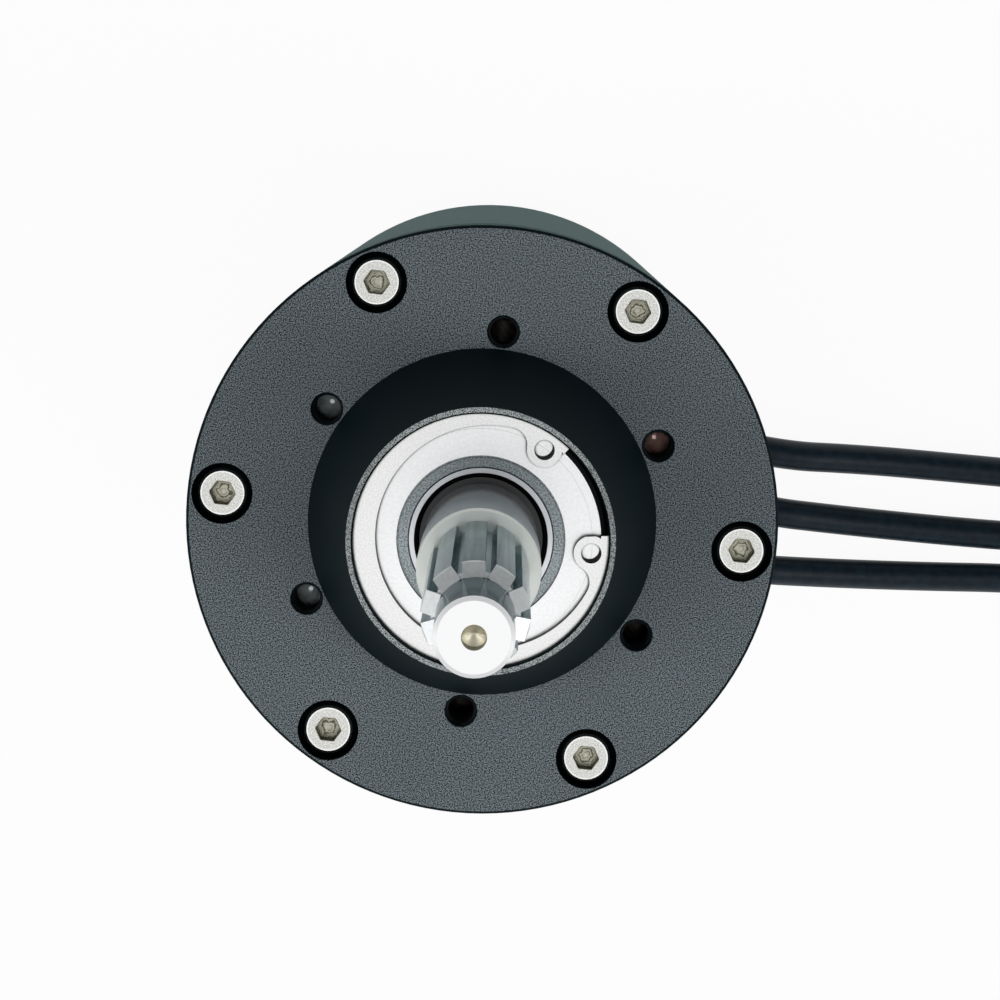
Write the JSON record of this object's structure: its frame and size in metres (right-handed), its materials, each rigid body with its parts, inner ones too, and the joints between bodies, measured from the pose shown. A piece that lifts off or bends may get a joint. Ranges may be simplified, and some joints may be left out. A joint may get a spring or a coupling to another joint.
{
  "type": "inrunner brushless motor",
  "caption": "Cylindrical inrunner brushless motor with a conical front boss, long splined output shaft and three bullet-plug phase leads.",
  "frame": {"origin": "centre of the rear face", "axes": "+Z along the shaft towards its tip, +X through one front cover screw"},
  "size_m": [0.253, 0.085, 0.278],
  "materials": {
    "blasted_anodise": "bead-blasted dark grey anodise, smooth on the cone",
    "satin_anodise": "satin dark grey anodise",
    "stainless_screw": "bright stainless",
    "nitrile_rubber": "matt black",
    "spring_steel": "bright phosphated",
    "bearing_steel": "ground",
    "pressed_steel": "pressed sheet",
    "shield_steel": "bright pressed sheet",
    "lamination_steel": "stacked electrical sheet",
    "slot_plastic": "moulded",
    "enamelled_copper": "varnished winding",
    "silicone_jacket": "soft black silicone",
    "shrink_plastic": "shrunk tube",
    "plated_brass": "gold plated",
    "ground_steel": "ground and polished",
    "magnet_plating": "nickel plated",
    "fibre_sleeve": "wound fibre in resin",
    "balance_brass": "turned"
  },
  "bodies": {
    "housing": {"front_end_bell": "blasted_anodise", "housing_can": "satin_anodise", "rear_cover": "satin_anodise", "front_cover_screws": "stainless_screw", "rear_cover_screws": "stainless_screw", "front_o_ring": "nitrile_rubber", "rear_o_ring": "nitrile_rubber", "front_circlip": "spring_steel", "front_bearing_outer_ring": "bearing_steel", "front_bearing_shields": "shield_steel", "rear_bearing_outer_ring": "bearing_steel", "rear_bearing_shields": "shield_steel", "preload_washer": "spring_steel", "stator_core": "lamination_steel", "rear_slot_insulator": "slot_plastic", "front_slot_insulator": "slot_plastic", "phase_a_coils": "enamelled_copper", "phase_b_coils": "enamelled_copper", "phase_c_coils": "enamelled_copper", "lead_grommets": "nitrile_rubber", "lead_splices": "shrink_plastic", "phase_lead_a": "silicone_jacket", "phase_lead_b": "silicone_jacket", "phase_lead_c": "silicone_jacket", "bullet_plug_a": "plated_brass", "bullet_plug_b": "plated_brass", "bullet_plug_c": "plated_brass", "plug_sleeve_a": "shrink_plastic", "plug_sleeve_b": "shrink_plastic", "plug_sleeve_c": "shrink_plastic"},
    "rotor": {"shaft": "ground_steel", "rotor_core": "lamination_steel", "rotor_magnets": "magnet_plating", "magnet_sleeve": "fibre_sleeve", "rear_balance_ring": "balance_brass", "front_balance_ring": "balance_brass", "front_bearing_inner_ring": "bearing_steel", "rear_bearing_inner_ring": "bearing_steel"},
    "front_ball_set": {"front_bearing_balls": "bearing_steel", "front_bearing_cage": "pressed_steel"},
    "rear_ball_set": {"rear_bearing_balls": "bearing_steel", "rear_bearing_cage": "pressed_steel"}
  },
  "joints": [
    {"name": "rotor_spin", "type": "hinge", "parent": "housing", "child": "rotor", "pos_m": [0, 0, 0.165], "axis": [0, 0, 1], "continuous": true},
    {"name": "front_ball_set_spin", "type": "hinge", "parent": "housing", "child": "front_ball_set", "pos_m": [0, 0, 0.181], "axis": [0, 0, 1], "continuous": true},
    {"name": "rear_ball_set_spin", "type": "hinge", "parent": "housing", "child": "rear_ball_set", "pos_m": [0, 0, 0.01], "axis": [0, 0, 1], "continuous": true}
  ],
  "couplings": [
    {"joint": "front_ball_set_spin", "follows": "rotor_spin", "ratio": 0.40769},
    {"joint": "rear_ball_set_spin", "follows": "rotor_spin", "ratio": 0.40426}
  ]
}
